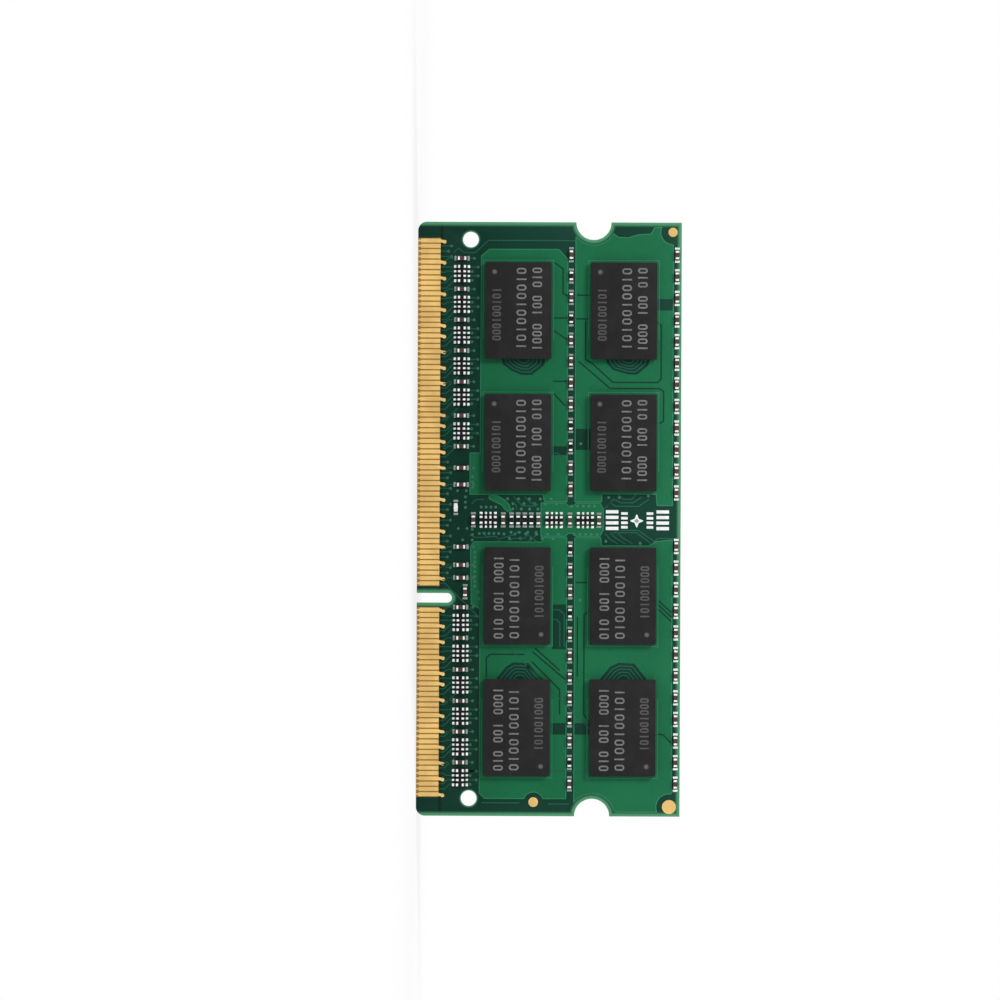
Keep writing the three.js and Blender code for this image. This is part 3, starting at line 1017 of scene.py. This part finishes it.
class ModelTraces(bpy.types.Operator):
    """Model the signal traces and the rings of the vias"""

    bl_idname = "memory_module.traces"
    bl_label = "Traces and vias"

    def execute(self, context):
        column, column_vias = column_traces()
        for face_name, face in FACES.items():
            near, near_vias = contact_traces(face_name)
            if face == BACK:
                near = [[(-x, z) for x, z in line] for line in near]
                near_vias = [(-x, z) for x, z in near_vias]
            lone = [from_left(line) for line in LONE_TRACES]
            traces = begin(f"traces_{face_name}_flat", "mask_on_traces")
            for line in near + column + lone:
                add_outline(ribbon(line, size("trace")), SUNK)
            raise_outlines(-size("copper") - SUNK - TRACE_RISE)
            leave_edit()
            finish(copy_of(traces, f"traces_{face_name}", on_face(face, 0, 0)), "board_mask")
            discard(traces)
            # The rims are a paler mask: a painted highlight along the pours' edges and round the packages.
            rims = begin(f"rims_{face_name}_flat", "mask_on_rims")
            for line in rim_lines(face_name):
                add_outline(ribbon(line, RIM_WIDTH), SUNK)
            raise_outlines(-size("copper") - SUNK - RIM_RISE)
            leave_edit()
            finish(copy_of(rims, f"pour_rims_{face_name}", on_face(face, 0, 0)), "board_mask")
            discard(rims)
            vias = begin(f"vias_{face_name}_flat", "mask_on_vias")
            for x, z in near_vias + column_vias:
                add_outline(disc(x, z, size("via"), 10), SUNK)
            raise_outlines(-size("copper") - SUNK - VIA_RISE)
            shape = bmesh.from_edit_mesh(vias.data)
            bpy.ops.mesh.select_all(action="DESELECT")
            for ring in shape.faces:
                ring.select_set(ring.normal.y < -0.5)
            bpy.ops.mesh.inset(thickness=0.08, use_individual=True)
            bpy.ops.transform.translate(value=(0, 0.012, 0))
            leave_edit()
            finish(copy_of(vias, f"vias_{face_name}", on_face(face, 0, 0)), "board_mask")
            discard(vias)
        return {"FINISHED"}


class ModelContacts(bpy.types.Operator):
    """Model the gold edge contacts with their plating ties and ground stubs"""

    bl_idname = "memory_module.contacts"
    bl_label = "Edge contacts"

    def execute(self, context):
        half = size("contact_width") / 2
        for face_name, face in FACES.items():
            grounds = ground_contacts(face_name)
            for bank in ("long", "short"):
                node = f"contacts_{face_name}_{bank}"
                low, high = node_box(node)
                places = contact_middles(face_name, bank)
                thick = high.y - low.y
                contact = begin(f"{node}_one", "plated_gold")
                add_block((-half, -thick, low.z), (half, SUNK, high.z), 0, 0.012, 2)
                # The plating tie runs on from the contact nearly to the board's edge.
                add_block((-0.1, -thick / 2, 0.04), (0.1, SUNK, low.z + 0.05), 0)
                leave_edit()
                bpy.ops.object.modifier_add(type="ARRAY")
                row = contact.modifiers[-1]
                row.count = len(places)
                row.use_relative_offset = False
                row.use_constant_offset = True
                row.constant_offset_displace = (-face * size("contact_pitch"), 0, 0)
                bpy.ops.object.modifier_apply(modifier=row.name)
                offsets = [-face * (x - places[0]) for x in places if x in grounds]
                stubs = self.stubs(f"{node}_stubs", offsets, high.z, thick, -face)
                whole = joined(f"{node}_gold", [contact, stubs])
                finish(copy_of(whole, f"gold_{node}", on_face(face, places[0], 0)), "contact_gold", node)
                discard(whole)
        return {"FINISHED"}

    def stubs(self, name, offsets, top, thick, lean):
        """The short slanting stubs from the ground contacts, each ending in a round pad."""
        stubs = begin(name, "plated_gold")
        for x in offsets:
            add_slope((x - 0.17, -thick * 0.8, top - 0.05), (x + 0.17, SUNK, top + 0.45),
                      (lean * 0.12, 0, 0), lambda corner: corner.z > top)
            bpy.ops.mesh.select_all(action="DESELECT")
            bpy.ops.mesh.primitive_cylinder_add(
                vertices=12, radius=0.21, depth=0.052, calc_uvs=False, rotation=(math.pi / 2, 0, 0),
                location=(x + lean * 0.13, -0.008, top + 0.46))
        leave_edit()
        return stubs


class ModelPackages(bpy.types.Operator):
    """Model the memory packages with their carriers, solder balls and plain marks"""

    bl_idname = "memory_module.packages"
    bl_label = "Memory packages"

    def execute(self, context):
        low, high = node_box("memory_front_1")
        half = (high - low) / 2
        height = high.y - low.y
        standoff = size("standoff")
        carrier = standoff + size("carrier")
        package = begin("package", "package_mould_marked", "carrier_laminate", "reflowed_tin")
        add_block((-half.x, -height, -half.z), (half.x, -carrier, half.z), 0, 0.05, 2)
        add_block((-half.x + 0.02, -carrier, -half.z + 0.02), (half.x - 0.02, -standoff, half.z - 0.02), 1)
        pitch = size("ball_pitch")
        radius = size("ball")
        for row in BALL_ROWS:
            for column in BALL_COLUMNS:
                bpy.ops.mesh.select_all(action="DESELECT")
                bpy.ops.mesh.primitive_uv_sphere_add(
                    segments=8, ring_count=5, radius=radius, calc_uvs=False,
                    location=(column * pitch, -standoff / 2, row * pitch), rotation=(math.pi / 2, 0, 0))
                bpy.ops.transform.resize(value=(1, 0.9, 1), center_override=(0, -standoff / 2, 0))
                paint(2)
        leave_edit()
        marking = package.data.uv_layers.new(name="marking")
        for loop in package.data.loops:
            corner = package.data.vertices[loop.vertex_index].co
            marking.data[loop.index].uv = (corner.x, corner.z)
        for face_name, face in FACES.items():
            for number in range(1, 9):
                node = f"memory_{face_name}_{number}"
                middle = node_middle(node)
                turn = 180 if middle.x * -face > 0 else 0
                place = on_face(face, middle.x, middle.z, turn)
                twin = copy_of(package, f"package_{face_name}_{number}", place)
                finish(twin, "package_black", node, smooth=30)
        discard(package)
        return {"FINISHED"}


class ModelArrays(bpy.types.Operator):
    """Model the four-element resistor arrays with their terminals"""

    bl_idname = "memory_module.arrays"
    bl_label = "Resistor arrays"

    def execute(self, context):
        half = (ARRAY_HIGH - ARRAY_LOW) / 2
        height = half.y * 2
        offsets = terminal_offsets(ARRAY_LOW, ARRAY_HIGH)
        pitch = offsets[1] - offsets[0]
        array = begin("array", "resistor_coat", "resistor_alumina", "reflowed_tin", "solder_fillet", "bare_solder")
        outline = [(-half.x, -half.z)]
        for offset in offsets[:-1]:
            notch = offset + pitch / 2
            outline += [(notch - 0.1, -half.z), (notch - 0.06, -half.z + 0.13), (notch + 0.06, -half.z + 0.13),
                        (notch + 0.1, -half.z)]
        outline += [(half.x, -half.z)]
        outline += [(-x, -z) for x, z in outline]
        add_outline(outline, -0.03)
        raise_outlines(-height + 0.07)
        paint(0)
        # The glass over the resistors stands a little above the substrate.
        add_block((-half.x + 0.05, -height + 0.01, -0.12), (half.x - 0.05, -height + 0.06, 0.12), 0, 0.02, 2)
        for side in (-1, 1):
            for offset in offsets:
                # The outer terminals are wider than the inner ones.
                outer = abs(offset) > pitch
                middle = offset + math.copysign(0.06 if outer else 0.01, offset)
                wide = 0.17 if outer else 0.125
                inner = 0.20 if outer else 0.15
                top = -height + 0.03
                zs = sorted((side * inner, side * (half.z - 0.05)))
                add_block((middle - wide, -height, zs[0]), (middle + wide, -height + 0.10, zs[1]), 4, 0.05, 2)
                # The terminal's outer wall and the fillet below it are dark solder: painted shade.
                zs = sorted((side * (half.z - 0.06), side * (half.z + 0.02)))
                add_block((middle - wide + 0.01, top, zs[0]), (middle + wide - 0.01, -0.01, zs[1]), 3)
                zs = sorted((side * (half.z - 0.02), side * (half.z + 0.14)))
                add_slope((middle - wide + 0.01, -0.28, zs[0]), (middle + wide - 0.01, 0.01, zs[1]), (0, 0.16, 0),
                          lambda corner, s=side: corner.y < -0.1 and corner.z * s > half.z + 0.05, 3)
                zs = sorted((side * (half.z + 0.12), side * (half.z + 0.42)))
                add_block((middle - wide, -0.12, zs[0]), (middle + wide, 0.01, zs[1]), 2, 0.06, 2)
        leave_edit()
        for face_name, face in FACES.items():
            for number in range(1, 16):
                node = f"resistor_array_{face_name}_{number}"
                low, high = node_box(node)
                turn = 90 if high.z - low.z > high.x - low.x else 0
                place = on_face(face, (low.x + high.x) / 2, (low.z + high.z) / 2, turn)
                finish(copy_of(array, f"array_{face_name}_{number}", place), "resistor_black", node)
        discard(array)
        return {"FINISHED"}


def chip_part(name, body, height=0.5, coat=None, pads="dull_solder"):
    """A two-terminal chip part along X about the origin, on the front: its body, tinned ends, fillets and pads."""
    part = begin(name, body, "bare_solder", "solder_fillet", pads, coat or body)
    half = CHIP_HALF_WIDTH
    start, end = CHIP_TERMINAL
    body_end = start + 0.02
    body_half = half - 0.015
    if coat:
        coat_end = start + 0.03
        add_block((-coat_end, -height, -half + 0.02), (coat_end, -height * 0.8, half - 0.02), 4, 0.02)
        add_block((-body_end, -height * 0.85, -body_half), (body_end, -CHIP_GAP, body_half), 0)
    else:
        add_block((-body_end, -height + 0.02, -body_half), (body_end, -CHIP_GAP, body_half), 0, 0.03, 2)
    for side in (-1, 1):
        # Each terminal's side and the fillet beside it are dark solder: painted shade.
        xs = sorted((side * start, side * end))
        add_block((xs[0], -height, -half), (xs[1], -0.01, half), 2, 0.05, 2)
        # Bright solder lies on the terminal's top.
        xs = sorted((side * (start + 0.01), side * (end - 0.015)))
        add_block((xs[0], -height - 0.012, -half + 0.03), (xs[1], -height + 0.1, half - 0.03), 1, 0.05, 2)
        xs = sorted((side * (end - 0.02), side * CHIP_SOLDER_END))
        add_slope((xs[0], -height * 0.7, -half + 0.02), (xs[1], 0.01, half - 0.02), (0, height * 0.5, 0),
                  lambda corner, s=side: corner.y < -0.1 and corner.x * s > 0.55, 2)
        xs = sorted(side * reach for reach in CHIP_PAD)
        add_block((xs[0], -0.10, -half - 0.02), (xs[1], 0.01, half + 0.02), 3, 0.04, 2)
    leave_edit()
    return part


class ModelCapacitors(bpy.types.Operator):
    """Model the two rows of chip parts on each face"""

    bl_idname = "memory_module.capacitors"
    bl_label = "Capacitor rows"

    def execute(self, context):
        ceramic = chip_part("capacitor", "fired_ceramic")
        dark = chip_part("dark_part", "resistor_alumina", height=0.4, coat="resistor_coat")
        bright = chip_part("bright_part", "fired_ceramic", pads="bare_solder")
        for face_name, face in FACES.items():
            for row in ("middle", "top"):
                for half_name in ("left", "right"):
                    node = f"capacitors_{face_name}_{row}_{half_name}"
                    low, high = node_box(node)
                    first = low.x + 0.5
                    pitch = (high.x - low.x - 1.0) / (ROW_COUNT - 1)
                    parts = []
                    for i in range(ROW_COUNT):
                        template = bright if row == "top" else ceramic
                        if row == "middle" and i in DARK_PLACES[half_name]:
                            template = dark
                        place = on_face(face, first + i * pitch, (low.z + high.z) / 2)
                        parts.append(copy_of(template, f"{node}_{i}", place))
                    finish(joined(f"row_{node}", parts), "capacitor_ceramic", node)
        discard(ceramic, dark, bright)
        return {"FINISHED"}


class ModelLoneParts(bpy.types.Operator):
    """Model the lone chip parts beside the arrays and down the middle"""

    bl_idname = "memory_module.lone_parts"
    bl_label = "Lone chip parts"

    def execute(self, context):
        ceramic = chip_part("capacitor", "fired_ceramic")
        pale = chip_part("pale_part", "bare_solder", height=0.4)
        dark = chip_part("dark_part", "resistor_alumina", height=0.4, coat="resistor_coat")
        for face_name, face in FACES.items():
            parts = []
            for x in lone_part_places(face_name):
                parts.append(copy_of(ceramic, "part", on_face(face, x, ARRAY_Z, 90)))
            finish(joined(f"lone_parts_{face_name}", parts), "capacitor_ceramic")
            column = []
            for z in COLUMN_CAPACITORS:
                column.append(copy_of(ceramic, "part", on_face(face, COLUMN_X, z)))
            for z in COLUMN_RESISTORS:
                column.append(copy_of(dark, "part", on_face(face, COLUMN_X, z)))
            (pale_place,) = from_left([PALE_PART])
            column.append(copy_of(pale, "part", on_face(face, *pale_place)))
            (key_place,) = from_left([KEY_PART])
            column.append(copy_of(ceramic, "part", on_face(face, *key_place)))
            finish(joined(f"column_parts_{face_name}", column), "resistor_black")
        discard(ceramic, pale, dark)
        return {"FINISHED"}


class ModelConfiguration(bpy.types.Operator):
    """Model the leadless configuration memory on the back, and its empty pads on the front"""

    bl_idname = "memory_module.configuration"
    bl_label = "Configuration memory"

    def execute(self, context):
        low, high = node_box("configuration_memory")
        middle = (low + high) / 2
        half = (high - low) / 2
        height = half.y * 2
        chip = begin("chip", "package_mould", "reflowed_tin")
        add_block((-half.x, -height, -half.z), (half.x, -0.05, half.z), 0, 0.04, 2)
        for side in (-1, 1):
            for i in range(4):
                x = (i - 1.5) * 0.5
                inner = side * (half.z - 0.35)
                outer = side * (half.z + 0.02)
                add_block((x - 0.12, -0.22, min(inner, outer)), (x + 0.12, -0.02, max(inner, outer)), 1)
                start = side * (half.z - 0.02)
                out = side * (half.z + 0.3)
                add_slope((x - 0.13, -0.20, min(start, out)), (x + 0.13, 0.01, max(start, out)), (0, 0.15, 0),
                          lambda corner, s=side: corner.y < -0.1 and corner.z * s > half.z + 0.1, 1)
        leave_edit()
        place = on_face(BACK, middle.x, middle.z)
        finish(copy_of(chip, "configuration_chip", place), "package_black", "configuration_memory")
        pads = begin("pads", "bare_solder", "dull_solder")
        middle_x, middle_z = STAR_MIDDLE
        star = []
        for quarter in range(4):
            for reach, angle in STAR_QUARTER:
                around = math.radians(angle + 90 * quarter)
                star.append((middle_x + reach * math.cos(around), middle_z + reach * math.sin(around)))
        add_outline(star, 0.01)
        raise_outlines(-0.07)
        for rows, columns, (wide, tall) in (OUTER_PADS, INNER_PADS):
            for x in rows:
                for z in columns:
                    add_block((x - wide, -0.06, z - tall), (x + wide, 0.01, z + tall), 0, 0.03, 2)
        add_outline([(middle_x - STAR_HEART, middle_z), (middle_x, middle_z - STAR_HEART),
                     (middle_x + STAR_HEART, middle_z), (middle_x, middle_z + STAR_HEART)], 0.0)
        paint(1)
        bpy.ops.mesh.extrude_region_move(TRANSFORM_OT_translate={"value": (0, -0.085, 0)})
        bpy.ops.mesh.select_all(action="SELECT")
        bpy.ops.mesh.normals_make_consistent(inside=False)
        leave_edit()
        finish(copy_of(pads, "empty_pads_front", on_face(FRONT, LEFT_END, 0)), "solder")
        discard(chip, pads)
        return {"FINISHED"}


class ModelAlignmentMarks(bpy.types.Operator):
    """Model the round gold marks that the placing machine aligns to"""

    bl_idname = "memory_module.alignment_marks"
    bl_label = "Alignment marks"

    def execute(self, context):
        for face_name, face in FACES.items():
            marks = begin(f"marks_{face_name}", "plated_gold")
            for x, z, radius in ALIGNMENT_MARKS:
                add_outline(from_left(disc(x, z, radius, 24)), SUNK)
            raise_outlines(-size("copper") - SUNK - MARK_RISE)
            leave_edit()
            finish(copy_of(marks, f"alignment_marks_{face_name}", on_face(face, 0, 0)), "contact_gold")
            discard(marks)
        return {"FINISHED"}


class ModelStage(bpy.types.Operator):
    """Make the floor, the lamps, the pale background and the camera"""

    bl_idname = "memory_module.stage"
    bl_label = "Stage"

    def execute(self, context):
        self.floor()
        self.world(context)
        self.lamps()
        self.camera(context)
        return {"FINISHED"}

    def seen(self, sheet):
        """1 for what the camera sees, straight or in a mirror or glass."""
        sight = sheet.node("LightPath", {}, {}, "Is Camera Ray")
        gloss = Wire(sheet, sight.socket.node.outputs["Is Glossy Ray"])
        glass = Wire(sheet, sight.socket.node.outputs["Is Transmission Ray"])
        return sight.most(gloss).most(glass)

    def floor(self):
        """The plain pale floor under the module."""
        bpy.ops.object.select_all(action="DESELECT")
        bpy.ops.mesh.primitive_plane_add(size=6, calc_uvs=False)
        floor = bpy.context.object
        floor.name = "floor"
        sheet = Sheet("floor_paper")
        paper = sheet.node("BsdfDiffuse", {}, {"Color": (0.9, 0.9, 0.9, 1.0)})
        glow = sheet.node("Emission", {}, {"Color": (1.0, 1.0, 1.0, 1.0), "Strength": 1.0})
        away = sheet.node("VectorMath", {"operation": "LENGTH"}, {0: sheet.place()}, "Value")
        # The paper shows the module's shadow near it and fades to plain white further out.
        plain = sheet.ramp(away, 45.0, 260.0, 0.70, 1.0)
        surface = sheet.node("MixShader", {}, {0: self.seen(sheet) * plain, 1: paper, 2: glow})
        floor.data.materials.append(sheet.end(surface))

    def world(self, context):
        """The pale room, which lights the module softly and is seen as white."""
        world = bpy.data.worlds.new("pale_room")
        context.scene.world = world
        world.use_nodes = True
        sheet = Sheet("room")
        sheet.tree = world.node_tree
        sheet.tree.nodes.clear()
        strength = 0.34 + 0.66 * self.seen(sheet)
        light = sheet.node("Background", {}, {"Color": (1.0, 1.0, 1.0, 1.0), "Strength": strength})
        output = sheet.tree.nodes.new("ShaderNodeOutputWorld")
        sheet.tree.links.new(light.socket, output.inputs["Surface"])
        bpy.data.materials.remove(sheet.material)

    def lamps(self):
        """A soft lamp high on the left and one on the right, in front and behind."""
        # Each lamp's place in metres, power in watts and width in metres.
        lamps = {
            "key": ((-0.30, -0.55, 0.42), 3.2, 0.22),
            "fill": ((0.45, -0.60, 0.20), 1.2, 0.45),
            "back_key": ((0.30, 0.55, 0.42), 3.2, 0.22),
            "back_fill": ((-0.45, 0.60, 0.20), 1.2, 0.45),
        }
        for name, (place, power, width) in lamps.items():
            aim = Vector((0, 0, 0.015)) - Vector(place)
            turn = aim.to_track_quat("-Z", "Y").to_euler()
            bpy.ops.object.light_add(type="AREA", location=place, rotation=turn)
            lamp = bpy.context.object
            lamp.name = name
            lamp.data.energy = power
            lamp.data.size = width

    def camera(self, context):
        """The camera, square to the front from 0.7 m with the board's left end up."""
        distance = 0.7
        view_width = 0.1138
        right = Vector((0, 0, 1))
        up = Vector((-1, 0, 0))
        axes = Matrix((right, up, right.cross(up))).transposed()
        axes = axes @ Matrix.Rotation(math.radians(0.24), 3, "Z")
        place = (-2.16 * MM, -distance - HALF_THICKNESS * MM, 9.43 * MM)
        bpy.ops.object.camera_add(location=place, rotation=axes.to_euler())
        camera = bpy.context.object
        camera.data.sensor_width = 36
        camera.data.lens = 36 * distance / view_width
        camera.data.clip_start = 0.01
        context.scene.camera = camera


class ModulePanel(bpy.types.Panel):
    """The module's pieces, sizes and colours"""

    bl_idname = "VIEW3D_PT_memory_module"
    bl_label = "Memory Module"
    bl_space_type = "VIEW_3D"
    bl_region_type = "UI"
    bl_category = "Memory Module"

    def draw(self, context):
        for operator in OPERATORS:
            self.layout.operator(operator.bl_idname)
        for group in (context.scene.memory_module_sizes, context.scene.memory_module_colours):
            for name in group.__annotations__:
                self.layout.prop(group, name)


OPERATORS = (ModelBoard, ModelCopper, ModelTraces, ModelContacts, ModelPackages, ModelArrays, ModelCapacitors,
             ModelLoneParts, ModelConfiguration, ModelAlignmentMarks, ModelStage)
CLASSES = (ModuleSizes, ModuleColours, *OPERATORS, ModulePanel)


def register():
    """Adds the classes, and their settings to the scene."""
    for each in CLASSES:
        bpy.utils.register_class(each)
    bpy.types.Scene.memory_module_sizes = bpy.props.PointerProperty(type=ModuleSizes)
    bpy.types.Scene.memory_module_colours = bpy.props.PointerProperty(type=ModuleColours)


def unregister():
    """Takes away what register added."""
    del bpy.types.Scene.memory_module_colours
    del bpy.types.Scene.memory_module_sizes
    for each in reversed(CLASSES):
        bpy.utils.unregister_class(each)


def main():
    """Models the module piece by piece and sets the stage."""
    register()
    bpy.context.scene.view_settings.view_transform = "Standard"
    bpy.ops.memory_module.board()
    bpy.ops.memory_module.copper()
    bpy.ops.memory_module.traces()
    bpy.ops.memory_module.contacts()
    bpy.ops.memory_module.packages()
    bpy.ops.memory_module.arrays()
    bpy.ops.memory_module.capacitors()
    bpy.ops.memory_module.lone_parts()
    bpy.ops.memory_module.configuration()
    bpy.ops.memory_module.alignment_marks()
    bpy.ops.memory_module.stage()


if __name__ == "__main__":
    main()
